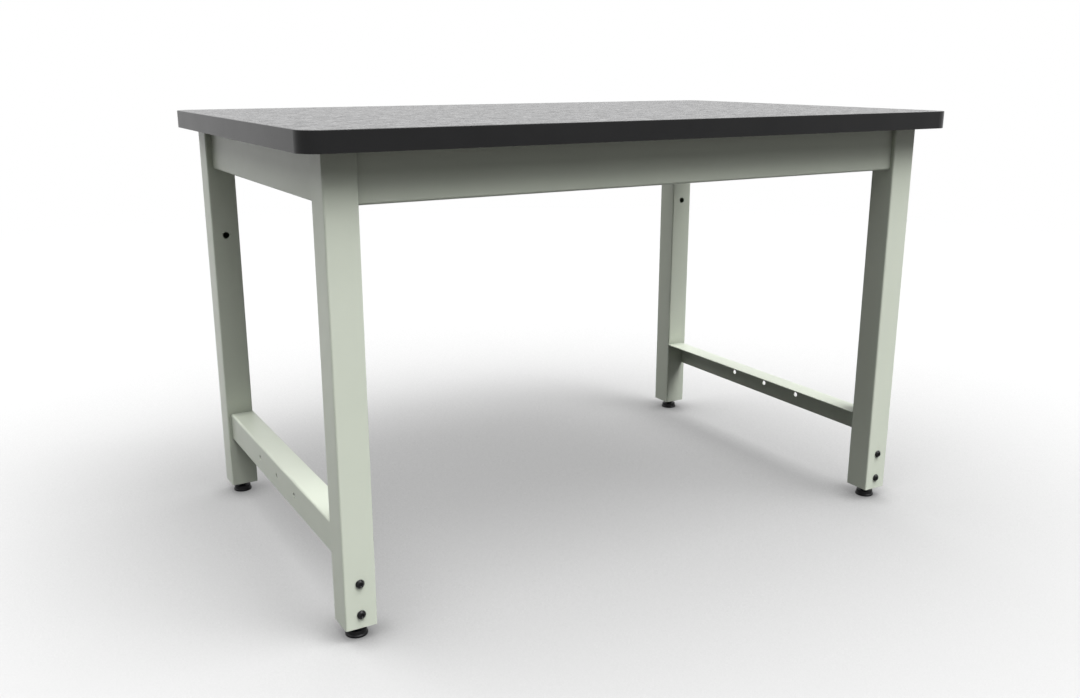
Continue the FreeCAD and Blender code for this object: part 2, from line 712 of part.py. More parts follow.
def build_lower_rail(side):
    """The angle low across one end of the bench, with accessory holes in its web."""
    body = new_body("%s_lower_rail" % SIDE_NAMES[side], x=rail_face * side, y=frame_middle,
                    z=s.foot_height + s.rail_rise, turn=side_part_turn(side))
    section = new_sketch(body, "section", "YZ_Plane")
    gauge = s.sheet_gauge
    sides = [as_size(0), -s.rail_height, gauge, -gauge, s.leg_width - s.rail_inset, as_size(0)]
    draw_outline(section, sides, {2: s.bend_radius, 5: outer_bend})
    pad(body, section, "angle", side_part_length, symmetric=True)

    hole = new_sketch(body, "accessory_hole", "XZ_Plane")
    first = s.rail_hole_pitch * ((1 - RAIL_HOLE_COUNT) / 2)
    draw_circle(hole, first, s.rail_height / -2, s.rail_hole_diameter)
    cut = pocket(body, hole, "accessory_cut")
    row = repeat_row(body, [cut], "accessory_row", "X_Axis", s.rail_hole_pitch, RAIL_HOLE_COUNT)
    body.Tip = row
    doc.recompute()


# Levelling feet

def foot_place(side, end):
    """The foot's axis on the floor."""
    return {"x": leg_x * side, "y": leg_y * end + frame_middle}


def build_foot_pad(side, end):
    """A stepped pad with an undercut bore that holds the stud's disc."""
    body = new_body("foot_pad_%s_%s" % (END_NAMES[end], SIDE_NAMES[side]), **foot_place(side, end))
    profile = new_sketch(body, "profile", "XZ_Plane")
    chamber = (s.stud_disc_diameter + s.turning_clearance) / 2
    throat = (s.foot_stud_diameter + s.turning_clearance) / 2
    ceiling = s.foot_pad_floor + s.stud_disc_height + s.turning_clearance
    points = [
        (0, 0),
        (s.foot_pad_diameter / 2, 0),
        (s.foot_pad_diameter / 2, s.foot_pad_rim),
        (s.foot_pad_body / 2, s.foot_pad_rim + s.foot_pad_shoulder),
        (s.foot_pad_crown / 2, s.foot_pad_height),
        (throat, s.foot_pad_height),
        (throat, ceiling),
        (chamber, ceiling),
        (chamber, s.foot_pad_floor),
        (0, s.foot_pad_floor),
    ]
    draw_profile(profile, points)
    revolve(body, profile, "pad", "V_Axis")


def build_foot_stud(side, end):
    """The threaded stud with its captive disc and spanner collar."""
    body = new_body("foot_stud_%s_%s" % (END_NAMES[end], SIDE_NAMES[side]), **foot_place(side, end))
    profile = new_sketch(body, "profile", "XZ_Plane")
    nut_top = s.foot_height + s.foot_plate_thickness + s.weld_nut_height
    stud_top = nut_top + s.foot_travel + 2
    radius = s.foot_stud_diameter / 2
    bevel = s.foot_stud_diameter / 8
    disc_top = s.foot_pad_floor + s.stud_disc_height
    points = [
        (0, s.foot_pad_floor),
        (s.stud_disc_diameter / 2, s.foot_pad_floor),
        (s.stud_disc_diameter / 2, disc_top),
        (radius, disc_top),
        (radius, stud_top - bevel),
        (radius - bevel, stud_top),
        (0, stud_top),
    ]
    draw_profile(profile, points)
    revolve(body, profile, "stud", "V_Axis")
    collar = new_sketch(body, "collar_section", "XY_Plane", lift=s.foot_pad_height + s.turning_clearance)
    draw_hexagon(collar, 0, 0, s.nut_across_flats)
    pad(body, collar, "collar", s.stud_collar_height)


# Assembly

def build_bench():
    """Builds every sub-part."""
    build_worktop()
    build_worktop_screws()
    for end in (FRONT, REAR):
        build_long_apron(end)
        for side in (LEFT, RIGHT):
            build_leg(side, end)
            build_leg_insert(side, end)
            build_foot_plate(side, end)
            build_foot_pad(side, end)
            build_foot_stud(side, end)
            build_apron_end_plate(side, end)
    for side in (LEFT, RIGHT):
        build_side_apron(side)
        build_lower_rail(side)
    build_foot_nuts("foot_weld_nuts", s.weld_nut_height, lift=s.foot_plate_thickness, downward=False)
    build_foot_nuts("foot_jam_nuts", s.jam_nut_height, lift=0, downward=True)
    build_leg_bolt_nuts()
    build_leg_bolts()
    build_apron_bolts()
    build_apron_bolt_nuts()


def check_document():
    """Stops at the first object that failed or has a broken shape."""
    doc.recompute()
    for item in doc.Objects:
        if "Invalid" in item.State or "Error" in item.State:
            raise RuntimeError("%s failed: %s" % (item.Label, item.State))
    for body in doc.findObjects("PartDesign::Body"):
        if body.Shape.isNull() or not body.Shape.isValid() or not body.Shape.Solids:
            raise RuntimeError("%s has no valid solid" % body.Label)


def export_parts():
    """Writes each sub-part to its own file."""
    os.makedirs("parts", exist_ok=True)
    for body in doc.findObjects("PartDesign::Body"):
        body.Shape.exportStep("parts/%s.step" % body.Label)
        print("%-32s %2d solids %12.1f mm3" % (body.Label, len(body.Shape.Solids), body.Shape.Volume))


build_bench()
check_document()
export_parts()
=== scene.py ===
"""The looks of the laboratory bench: finishes, fasteners with their threads, feet, welds, light and camera.

The scene is in metres, in the frame of the CAD model: X along the bench, Y to its back, Z up.
"""

import json
import math

import bmesh
import bpy
from mathutils import Matrix, Vector


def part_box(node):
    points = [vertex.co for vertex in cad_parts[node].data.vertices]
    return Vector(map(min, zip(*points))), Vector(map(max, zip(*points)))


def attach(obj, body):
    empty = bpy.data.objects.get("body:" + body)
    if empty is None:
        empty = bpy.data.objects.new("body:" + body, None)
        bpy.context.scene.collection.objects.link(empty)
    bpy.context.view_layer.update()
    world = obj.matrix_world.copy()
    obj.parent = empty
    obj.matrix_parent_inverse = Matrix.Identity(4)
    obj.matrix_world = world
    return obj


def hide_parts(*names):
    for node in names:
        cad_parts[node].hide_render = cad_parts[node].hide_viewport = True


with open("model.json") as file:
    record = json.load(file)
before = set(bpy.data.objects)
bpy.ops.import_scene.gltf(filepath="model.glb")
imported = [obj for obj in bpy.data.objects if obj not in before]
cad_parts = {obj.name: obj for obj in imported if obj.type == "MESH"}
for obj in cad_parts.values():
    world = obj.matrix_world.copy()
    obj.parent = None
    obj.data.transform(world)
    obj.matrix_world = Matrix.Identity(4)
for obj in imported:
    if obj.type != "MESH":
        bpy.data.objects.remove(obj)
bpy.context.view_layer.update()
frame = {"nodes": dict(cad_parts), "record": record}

MM = 0.001
TURN = 2 * math.pi
X, Y, Z = range(3)
CORNERS = ("front_left", "front_right", "rear_left", "rear_right")
SHARP_EDGE = math.radians(32)
WHITE = (1.0, 1.0, 1.0)
BLACK = (0.0, 0.0, 0.0)


# Node graphs

class Graph:
    """The shader nodes of a material or of the world."""

    def __init__(self, owner, shader):
        self.owner = owner
        owner.use_nodes = True
        self.tree = owner.node_tree
        self.shader = self.tree.nodes[shader]
        self.place = self.add("TexCoord").outputs["Object"]

    def add(self, kind, inputs=None, **settings):
        """A node with its settings made and its inputs set or linked."""
        node = self.tree.nodes.new("ShaderNode" + kind)
        for name, value in settings.items():
            setattr(node, name, value)
        for name, value in (inputs or {}).items():
            self.feed(node, name, value)
        return node

    def feed(self, node, name, value):
        """Sets an input to a value, or links it to another node's output."""
        if isinstance(value, bpy.types.NodeSocket):
            self.tree.links.new(value, node.inputs[name])
        else:
            node.inputs[name].default_value = value

    def stretched(self, x, y, z):
        """Object coordinates with each axis scaled."""
        return self.add("Mapping", {"Vector": self.place, "Scale": (x, y, z)}).outputs["Vector"]

    def noise(self, scale, detail, roughness=0.5, vector=None):
        """Smooth noise from 0 to 1."""
        inputs = {"Vector": vector or self.place, "Scale": scale, "Detail": detail, "Roughness": roughness}
        return self.add("TexNoise", inputs).outputs["Fac"]

    def openness(self, distance, samples):
        """How open the surroundings are up to a distance, from 0 in a tight corner to 1."""
        return self.add("AmbientOcclusion", {"Distance": distance}, samples=samples).outputs["AO"]

    def looked_at(self):
        """1 for what is seen, straight, in a reflection or through glass, and 0 for light that bounces."""
        path = self.add("LightPath").outputs
        seen = self.math("MAXIMUM", path["Is Camera Ray"], path["Is Glossy Ray"])
        return self.math("MAXIMUM", seen, path["Is Transmission Ray"])

    def ramp(self, value, low, high, to_low=0.0, to_high=1.0):
        """Maps a stretch of values to another, held at its ends."""
        inputs = {"Value": value, "From Min": low, "From Max": high, "To Min": to_low, "To Max": to_high}
        return self.add("MapRange", inputs).outputs["Result"]

    def math(self, operation, first, second):
        """One arithmetic step."""
        return self.add("Math", {0: first, 1: second}, operation=operation).outputs[0]

    def average(self, first, second, share):
        """The average of two values, the first of which has a share of the weight."""
        return self.math("ADD", self.math("MULTIPLY", first, share), self.math("MULTIPLY", second, 1 - share))

    def blend(self, factor, first, second):
        """A colour between two others."""
        node = self.add("Mix", {0: factor, 6: colour(first), 7: colour(second)}, data_type="RGBA")
        return node.outputs[2]

    def bump(self, height, distance, strength, normal=None):
        """A normal bent by a height from 0 to 1, which stands for a distance in metres."""
        inputs = {"Height": height, "Distance": distance, "Strength": strength}
        if normal is not None:
            inputs["Normal"] = normal
        return self.add("Bump", inputs).outputs["Normal"]

    def glow(self, strength):
        """A white shader that shines by itself."""
        return self.add("Emission", {"Color": colour(WHITE), "Strength": strength}).outputs[0]

    def finish(self, **sockets):
        """Sets the shader's sockets, with underscores for the spaces in their names."""
        for name, value in sockets.items():
            self.feed(self.shader, name.replace("_", " "), value)
        return self.owner


def colour(item):
    """A colour socket's four values, or the link as it is."""
    if isinstance(item, bpy.types.NodeSocket):
        return item
    return (*item, 1.0)


def surface(name):
    """The graph of a new material."""
    return Graph(bpy.data.materials.new(name), "Principled BSDF")


# Finishes

def frame_paint():
    """Pale grey-green powder coat: satin, with fine orange peel, and painted shade that darkens its corners.
    """
    darker, paler = (0.743, 0.797, 0.680), (0.766, 0.818, 0.702)
    speck_tone, speck_share = (0.45, 0.48, 0.42), 0.10
    painted_shade_tone, painted_shade_share, painted_shade_reach = (0.16, 0.17, 0.15), 0.62, 25 * MM
    edge_radius, peel_height = 0.6 * MM, 0.05 * MM
    g = surface("frame_paint")
    tone = g.blend(g.ramp(g.noise(9.0, 3.0), 0.3, 0.7), darker, paler)
    specks = g.ramp(g.noise(2600.0, 1.0), 0.62, 0.75)
    tone = g.blend(g.math("MULTIPLY", specks, speck_share), tone, speck_tone)
    # Painted shade: the colour darkens where corners and nearby parts close the surface in.
    painted_shade = g.ramp(g.openness(painted_shade_reach, samples=4), 0.3, 0.95, painted_shade_share, 0.0)
    tone = g.blend(painted_shade, tone, painted_shade_tone)
    rough = g.ramp(g.noise(55.0, 3.0), 0.3, 0.7, 0.28, 0.36)
    rounded = g.add("Bevel", {"Radius": edge_radius}, samples=4).outputs["Normal"]
    peel = g.bump(g.noise(620.0, 2.0), peel_height, 0.35, rounded)
    return g.finish(Base_Color=tone, Roughness=rough, IOR=1.33, Normal=peel)


def charcoal_laminate():
    """Dark laminate with a granular print of paler and darker specks, and a fine pressed texture."""
    dark, pale = (0.004, 0.004, 0.005), (0.152, 0.152, 0.154)
    low, high = 0.39, 0.63
    relief_height = 0.08 * MM
    g = surface("charcoal_laminate")
    speck = g.noise(1.0, 4.0, 0.62, g.stretched(260.0, 330.0, 300.0))
    mottle = g.noise(1.0, 2.0, 0.5, g.stretched(40.0, 150.0, 100.0))
    grain = g.average(speck, mottle, 0.6)
    tone = g.blend(g.ramp(grain, low, high), dark, pale)
    rough = g.ramp(grain, low, high, 0.40, 0.18)
    pressed = g.noise(1.0, 3.0, 0.6, g.stretched(700.0, 900.0, 900.0))
    relief = g.bump(g.average(grain, pressed, 0.7), relief_height, 0.5)
    return g.finish(Base_Color=tone, Roughness=rough, IOR=1.5, Normal=relief)


def black_edge_band():
    """Smooth satin black plastic with faint lengthwise extrusion lines."""
    darker, paler = (0.0095, 0.0095, 0.010), (0.0125, 0.0125, 0.013)
    line_height = 0.02 * MM
    g = surface("black_edge_band")
    haze = g.noise(18.0, 2.0, 0.5)
    tone = g.blend(g.ramp(haze, 0.3, 0.7), darker, paler)
    rough = g.ramp(haze, 0.2, 0.8, 0.29, 0.33)
    lines = g.bump(g.noise(1.0, 3.0, 0.6, g.stretched(3.0, 3.0, 1500.0)), line_height, 0.25)
    return g.finish(Base_Color=tone, Roughness=rough, IOR=1.28, Normal=lines)


def particle_board():
    """Pressed chips of several tones."""
    dark, pale = (0.36, 0.24, 0.13), (0.68, 0.52, 0.33)
    chip_height = 0.2 * MM
    g = surface("particle_board")
    chips = g.add("TexVoronoi", {"Vector": g.stretched(260.0, 260.0, 700.0), "Scale": 1.0})
    tone = g.blend(g.ramp(chips.outputs["Color"], 0.2, 0.9), dark, pale)
    uneven = g.noise(420.0, 3.0)
    rough = g.ramp(uneven, 0.3, 0.7, 0.7, 0.9)
    return g.finish(Base_Color=tone, Roughness=rough, Normal=g.bump(uneven, chip_height, 0.6))


def backer_sheet():
    """Brown phenolic balancing sheet, sanded in long strokes."""
    dark, pale = (0.050, 0.033, 0.022), (0.082, 0.056, 0.038)
    cloud_tone, cloud_share = (0.10, 0.075, 0.055), 0.35
    stroke_height = 0.03 * MM
    g = surface("backer_sheet")
    strokes = g.noise(1.0, 4.0, 0.6, g.stretched(9.0, 420.0, 50.0))
    cloud = g.noise(7.0, 4.0, 0.6)
    tone = g.blend(g.ramp(strokes, 0.35, 0.65), dark, pale)
    tone = g.blend(g.ramp(cloud, 0.35, 0.65, 0.0, cloud_share), tone, cloud_tone)
    rough = g.ramp(cloud, 0.3, 0.7, 0.5, 0.68)
    return g.finish(Base_Color=tone, Roughness=rough, Normal=g.bump(strokes, stroke_height, 0.5))


def metal(name, dark, light, smoothest, roughest, streaks=(1.0, 1.0, 1.0)):
    """Bare or plated steel with cloudy plating and fine marks, which can be drawn out in streaks."""
    mark_height = 0.02 * MM
    g = surface(name)
    cloud = g.noise(160.0, 4.0, 0.6)
    marks = g.noise(900.0, 2.0, 0.6, g.stretched(*streaks))
    tone = g.blend(g.ramp(cloud, 0.32, 0.68), dark, light)
    rough = g.ramp(g.average(cloud, marks, 0.5), 0.35, 0.65, smoothest, roughest)
    return g.finish(Base_Color=tone, Metallic=1.0, Roughness=rough, Normal=g.bump(marks, mark_height, 0.4))


def black_fastener():
    """Black oxide steel: dark, oiled and a little uneven."""
    darker, paler = (0.006, 0.006, 0.007), (0.014, 0.014, 0.015)
    uneven_height = 0.01 * MM
    g = surface("black_fastener")
    cloud = g.noise(420.0, 4.0, 0.6)
    tone = g.blend(g.ramp(cloud, 0.3, 0.7), darker, paler)
    rough = g.ramp(cloud, 0.3, 0.7, 0.17, 0.28)
    return g.finish(Base_Color=tone, Roughness=rough, IOR=1.26, Normal=g.bump(cloud, uneven_height, 0.4))


def black_nylon():
    """Moulded nylon with a fine matt texture."""
    darker, paler = (0.008, 0.008, 0.009), (0.015, 0.015, 0.016)
    grain_height = 0.03 * MM
    g = surface("black_nylon")
    cloud = g.noise(120.0, 3.0)
    tone = g.blend(g.ramp(cloud, 0.3, 0.7), darker, paler)
    rough = g.ramp(cloud, 0.3, 0.7, 0.34, 0.46)
    grain = g.bump(g.noise(1500.0, 2.0), grain_height, 0.5)
    return g.finish(Base_Color=tone, Roughness=rough, IOR=1.28, Normal=grain)


FINISHES = {
    "frame_paint": frame_paint(),
    "charcoal_laminate": charcoal_laminate(),
    "black_edge_band": black_edge_band(),
    "particle_board": particle_board(),
    "backer_sheet": backer_sheet(),
    "insert_steel": metal("insert_steel", (0.50, 0.51, 0.52), (0.66, 0.67, 0.68), 0.26, 0.42,
                          streaks=(1.0, 1.0, 0.2)),
    "plain_steel": metal("plain_steel", (0.28, 0.27, 0.26), (0.42, 0.41, 0.40), 0.36, 0.52),
    "zinc_fastener": metal("zinc_fastener", (0.58, 0.58, 0.56), (0.74, 0.74, 0.72), 0.2, 0.36),
    "black_fastener": black_fastener(),
    "black_nylon": black_nylon(),
}


def dress_nodes():
    """Gives each CAD node the finish of its material slot."""
    for part in frame["record"]["subparts"]:
        mesh = frame["nodes"][part["node"]].data
        mesh.materials.clear()
        mesh.materials.append(FINISHES[part["material_slot"]])


# Sizes in millimetres that no node's box gives. Heights in a foot are above the floor.

STUD_RADIUS = 4.75
STUD_PITCH = 1.5875
STUD_TIP = 0.6
THREAD_DEPTH = 0.6 * STUD_PITCH
STUD_ROOT = STUD_RADIUS - THREAD_DEPTH
DISC_RADIUS = 7.0
DISC_TOP = 5.5
DISC_BEVEL = 0.4
COLLAR_LOW = 10.5
COLLAR_HIGH = 13.3
FOOT_FLATS = 14.3
FOOT_NUT_BORE = 9.6

PAD_RADIUS = 17.5
PAD_RIM_TOP = 3.4
PAD_SLOPE_END = (16.0, 4.8)
PAD_CROWN_RADIUS = 15.5
PAD_TOP = 10.4
PAD_FLOOR = 3.0
PAD_CLEARANCE = 0.05

BOLT_RADIUS = 4.0
BOLT_LENGTH = 16.0
BOLT_FLATS = 12.7
BOLT_NUT_BORE = 8.1
LEG_BOLT_HEAD_RADIUS = 7.0
LEG_BOLT_HEAD_HEIGHT = 4.4
APRON_BOLT_HEAD_HEIGHT = 5.3
SCREW_HEAD_RADIUS = 4.5
SCREW_HEAD_HEIGHT = 3.0
SCREW_RADIUS = 2.4
SCREW_LENGTH = 25.0

SHEET = 2.0
END_PLATE = 3.0
WELD_LEG = 2.6
WELD_RIPPLE = 1.7


# Shapes in millimetres about their own Z axis, which points out of a head or up a foot

SEGMENTS = 48
PAD_SEGMENTS = 72
FACE_CIRCLE = 0.95
CORNER_BEVEL = math.radians(30)
COUNTERSINK = 0.6
SAME_POINT = 0.002

# Over one pitch, how far along it a point of the thread is, and what share of the depth it stands out.
THREAD_PROFILE = [(0.0, 0.0), (0.375, 1.0), (0.5, 1.0), (0.875, 0.0), (1.0, 0.0)]


def skin(shape, rows):
    """Faces between each row of points and the next."""
    for here, there in zip(rows, rows[1:]):
        for number in range(len(here) - 1):
            shape.faces.new((here[number], there[number], there[number + 1], here[number + 1]))


def circle(segments):
    """Evenly spaced angles over one turn."""
    return [TURN * step / segments for step in range(segments)]


def turned(shape, section, angles=None):
    """Skins an outline taken round Z. section gives its (radius, height) points at an angle."""
    rows = []
    for angle in angles or circle(SEGMENTS):
        across, up = math.cos(angle), math.sin(angle)
        rows.append([shape.verts.new((reach * across, reach * up, height))
                     for reach, height in section(angle)])
    skin(shape, rows + rows[:1])


def hexagon(across_flats, angle):
    """How far a hexagon with corners on X reaches at an angle."""
    return across_flats / 2 / math.cos(angle % (TURN / 6) - TURN / 12)


def rounding(across, height, radius, first, last, steps=4):
    """Points on an arc about a centre, from one direction to another, in degrees."""
    points = []
    for step in range(steps + 1):
        angle = math.radians(first + (last - first) * step / steps)
        points.append((across + radius * math.cos(angle), height + radius * math.sin(angle)))
    return points


def cut_corners(across_flats, face_height, toward, angle):
    """The bevelled corner of a hexagon's end face: where it leaves the flats and where it is level.

    toward is 1 for an upper face and -1 for a lower one.
    """
    reach = hexagon(across_flats, angle)
    level = across_flats * FACE_CIRCLE / 2
    drop = (reach - level) * math.tan(CORNER_BEVEL)
    return (reach, face_height - toward * drop), (level, face_height)


def nut_shape(across_flats, bore, height):
    """A hexagon nut with bevelled corners and a countersunk bore, half its height to each side."""
    top, radius = height / 2, bore / 2
    mouth = radius + COUNTERSINK
    hole = [(mouth, -top), (radius, COUNTERSINK - top), (radius, top - COUNTERSINK), (mouth, top)]

    def section(angle):
        upper = cut_corners(across_flats, top, 1, angle)
        lower = cut_corners(across_flats, -top, -1, angle)
        return [upper[1], upper[0], lower[0], lower[1], *hole, upper[1]]

    shape = bmesh.new()
    turned(shape, section)
    return shape


def thread(shape, low, high):
    """The stud's right-hand thread from one ring to another, run out at both ends."""
    steps = math.ceil((high - low) / STUD_PITCH + 1) * SEGMENTS
    rows = []
    for step in range(steps + 1):
        angle = TURN * step / SEGMENTS
        base = low + (step / SEGMENTS - 1) * STUD_PITCH
        row = []
        for along, out in THREAD_PROFILE:
            height = min(max(base + along * STUD_PITCH, low), high)
            run_out = min(1.0, (height - low) / STUD_PITCH, (high - height) / STUD_PITCH)
            reach = STUD_ROOT + THREAD_DEPTH * out * run_out
            row.append(shape.verts.new((reach * math.cos(angle), reach * math.sin(angle), height)))
        rows.append(row)
    skin(shape, rows)


def stud_shape(low, top):
    """The foot's stud: captive disc, neck, spanner hexagon and thread."""
    disc_face = DISC_RADIUS - DISC_BEVEL
    thread_end = top - STUD_TIP

    def lower(angle):
        under = cut_corners(FOOT_FLATS, COLLAR_LOW, -1, angle)
        over = cut_corners(FOOT_FLATS, COLLAR_HIGH, 1, angle)
        return [(0, low), (disc_face, low), (DISC_RADIUS, low + DISC_BEVEL),
                (DISC_RADIUS, DISC_TOP - DISC_BEVEL), (disc_face, DISC_TOP), (STUD_RADIUS, DISC_TOP),
                (STUD_RADIUS, COLLAR_LOW), under[1], under[0], over[0], over[1], (STUD_ROOT, COLLAR_HIGH)]

    shape = bmesh.new()
    turned(shape, lower)
    thread(shape, COLLAR_HIGH, thread_end)
    turned(shape, lambda angle: [(STUD_ROOT, thread_end), (STUD_ROOT - STUD_TIP, top), (0, top)])
    return shape


def pad_shape():
    """The moulded foot: dished underside, rounded rim, slope, upright body and undercut bore."""
    dish_height, dish_radius, tread_radius = 0.6, 12.2, 12.8
    low_round, rim_round, crown_round = 0.8, 0.5, 1.0
    slope_direction, body_direction = 47, 5
    lead_in = 0.5
    throat, chamber = STUD_RADIUS + PAD_CLEARANCE, DISC_RADIUS + PAD_CLEARANCE
    seat, ceiling = PAD_FLOOR - PAD_CLEARANCE, DISC_TOP + PAD_CLEARANCE
    points = [
        (0, dish_height), (dish_radius, dish_height), (tread_radius, 0.0),
        *rounding(PAD_RADIUS - low_round, low_round, low_round, -90, 0),
        *rounding(PAD_RADIUS - rim_round, PAD_RIM_TOP - rim_round, rim_round, 0, slope_direction),
        PAD_SLOPE_END,
        *rounding(PAD_CROWN_RADIUS - crown_round, PAD_TOP - crown_round, crown_round, body_direction, 90),
        (throat + lead_in, PAD_TOP), (throat, PAD_TOP - lead_in), (throat, ceiling),
        (chamber, ceiling), (chamber, seat), (0, seat),
    ]
    shape = bmesh.new()
    turned(shape, lambda angle: points, circle(PAD_SEGMENTS))
    return shape


def bolt_shank(radius, length, point):
    """A bolt's shank, from its seat at zero down to its bevelled end."""
    return [(radius, 0), (radius, point - length), (radius - point, -length), (0, -length)]


def button_bolt_shape(head_radius, head_height, shank_radius, length):
    """A button head bolt whose seat is at zero: domed head, hexagon socket and shank."""
    crown_radius, crown_edge = 3.6, 0.3
    rim_height, rim_bevel = 0.8, 0.25
    flats, depth = 4.8, 2.6
    mouth_radius, mouth_drop, mouth_bevel = 3.05, 0.05, 0.1
    drill_radius, drill_start, drill_depth = 2.1, 0.1, 0.6
    shank_point = 0.6
    centre = ((head_radius ** 2 + rim_height ** 2 - crown_radius ** 2 - head_height ** 2)
              / (2 * (rim_height - head_height)))
    radius = math.hypot(head_radius, rim_height - centre)
    first = math.degrees(math.atan2(head_height - centre, crown_radius))
    last = math.degrees(math.atan2(rim_height - centre, head_radius))
    dome = rounding(0, centre, radius, first, last, 10)
    floor = head_height - depth

    def section(angle):
        flat = hexagon(flats, angle)
        return [(0, floor - drill_depth), (drill_radius, floor - drill_start), (flat, floor),
                (flat, head_height - (mouth_radius - flat) - mouth_bevel),
                (mouth_radius, head_height - mouth_drop), (crown_radius - crown_edge, head_height),
                *dome, (head_radius, rim_bevel), (head_radius - rim_bevel, 0),
                *bolt_shank(shank_radius, length, shank_point)]

    shape = bmesh.new()
    turned(shape, section)
    return shape


def hexagon_bolt_shape(across_flats, head_height, shank_radius, length):
    """A hexagon head bolt whose seat is at zero, with a dished face."""
    dish_depth, dish_radius, dish_edge = 0.25, 4.1, 4.4
    shank_point = 0.8
    dish = head_height - dish_depth

    def section(angle):
        over = cut_corners(across_flats, head_height, 1, angle)
        return [(0, dish), (dish_radius, dish), (dish_edge, head_height), over[1], over[0],
                (hexagon(across_flats, angle), 0), *bolt_shank(shank_radius, length, shank_point)]

    shape = bmesh.new()
    turned(shape, section)
    return shape


def cross(arm, half_width, angle):
    """How far a cross with arms on X and Y reaches at an angle."""
    off = abs((angle + TURN / 8) % (TURN / 4) - TURN / 8)
    if off < math.atan2(half_width, arm):
        return arm / math.cos(off)
    return half_width / math.sin(off)


def cross_angles(arm, half_width, between=8):
    """Angles that hit every corner of a cross, and more between them."""
    corner = math.atan2(half_width, arm)
    gap = TURN / 4 - 2 * corner
    quarter = [-corner, 0.0, corner] + [corner + gap * step / between for step in range(1, between)]
    return [angle + TURN / 4 * number for number in range(4) for angle in quarter]


def pan_screw_shape(head_radius, head_height, shank_radius, length):
    """A pan head screw with a cross recess, its seat at zero."""
    arm, half_width = 2.6, 0.55
    depth, taper, mouth_drop = 1.6, 0.45, 0.05
    edge_round, edge_end = 1.5, 78
    point_length, point_radius = 4.5, 0.3
    floor = head_height - depth
    edge = rounding(head_radius - edge_round, head_height - edge_round, edge_round, edge_end, 0, 6)

    def section(angle):
        reach = cross(arm, half_width, angle)
        return [(0, floor), (reach * taper, floor), (reach, head_height - mouth_drop),
                *edge, (head_radius, 0), (shank_radius, 0), (shank_radius, point_length - length),
                (point_radius, -length), (0, -length)]

    shape = bmesh.new()
    turned(shape, section, cross_angles(arm, half_width))
    return shape


# Pieces

def solids_of(node):
    """The lowest and highest corner of each separate solid of a CAD node."""
    same_point = 0.01 * MM
    shape = bmesh.new()
    shape.from_mesh(frame["nodes"][node].data)
    bmesh.ops.remove_doubles(shape, verts=shape.verts, dist=same_point)
    boxes, seen = [], set()
    for first in shape.verts:
        if first in seen:
            continue
        seen.add(first)
        reached = [first]
        for vertex in reached:
            for edge in vertex.link_edges:
                other = edge.other_vert(vertex)
                if other not in seen:
                    seen.add(other)
                    reached.append(other)
        low = Vector([min(vertex.co[axis] for vertex in reached) for axis in (X, Y, Z)])
        high = Vector([max(vertex.co[axis] for vertex in reached) for axis in (X, Y, Z)])
        boxes.append((low, high))
    shape.free()
    return boxes


def middle(box):
    """The middle of a box."""
    return (box[0] + box[1]) / 2


def facing(place, out, across):
    """The matrix that sets a shape down with its Z out and its X across, from millimetres to metres."""
    out, across = Vector(out), Vector(across)
    turn = Matrix((across, out.cross(across), out)).transposed().to_4x4()
    return Matrix.Translation(place) @ turn @ Matrix.Scale(MM, 4)


def seated(box, axis, outward, head_height, across):
    """The matrix that seats a bolt or screw whose head is at one end of a box. outward is 1 or -1."""
    place, out = middle(box), Vector((0, 0, 0))
    head_end = box[1] if outward > 0 else box[0]
    place[axis] = head_end[axis] - outward * head_height * MM
    out[axis] = outward
    return facing(place, out, across)


def seated_in_pairs(node, axis, away, head_height, across):
    """A matrix for each bolt of a node. The heads point away from its middle, or to it if away is -1."""
    centre = middle(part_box(node))[axis]
    places = []
    for box in solids_of(node):
        side = -1 if middle(box)[axis] < centre else 1
        places.append(seated(box, axis, side * away, head_height, across))
    return places


def set_down(shape, places):
    """One shape with a clean copy of another at each place."""
    bmesh.ops.remove_doubles(shape, verts=shape.verts, dist=SAME_POINT)
    bmesh.ops.recalc_face_normals(shape, faces=shape.faces)
    single = bpy.data.meshes.new("single")
    shape.to_mesh(single)
    shape.free()
    whole = bmesh.new()
    for place in places:
        copy = single.copy()
        copy.transform(place)
        whole.from_mesh(copy)
        bpy.data.meshes.remove(copy)
    bpy.data.meshes.remove(single)
    return whole


def add_object(name, data):
    """An object of the scene that shows a mesh, a lamp or a camera."""
    item = bpy.data.objects.new(name, data)
    bpy.context.scene.collection.objects.link(item)
    return item


def add_piece(name, shape, slot, body="root", stands_for=None):
    """Makes a shape a piece of the bench, with its finish, on a body and in place of a CAD node."""
    mesh = bpy.data.meshes.new(name)
    shape.to_mesh(mesh)
    shape.free()
    mesh.shade_smooth()
    mesh.set_sharp_from_angle(angle=SHARP_EDGE)
    mesh.materials.append(FINISHES[slot])
    piece = add_object(name, mesh)
    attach(piece, body)
    if stands_for:
        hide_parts(stands_for)


def build_feet():
    """The threaded studs and moulded pads of the four feet."""
    for corner in CORNERS:
        stud_low, stud_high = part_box("foot_stud_" + corner)
        axis = middle((stud_low, stud_high))
        place = facing((axis.x, axis.y, 0.0), (0, 0, 1), (1, 0, 0))
        stud = stud_shape(stud_low.z / MM, stud_high.z / MM)
        add_piece("threaded_stud_" + corner, set_down(stud, [place]), "black_fastener",
                  "stud_" + corner, "foot_stud_" + corner)
        add_piece("moulded_pad_" + corner, set_down(pad_shape(), [place]), "black_nylon",
                  "pad_" + corner, "foot_pad_" + corner)


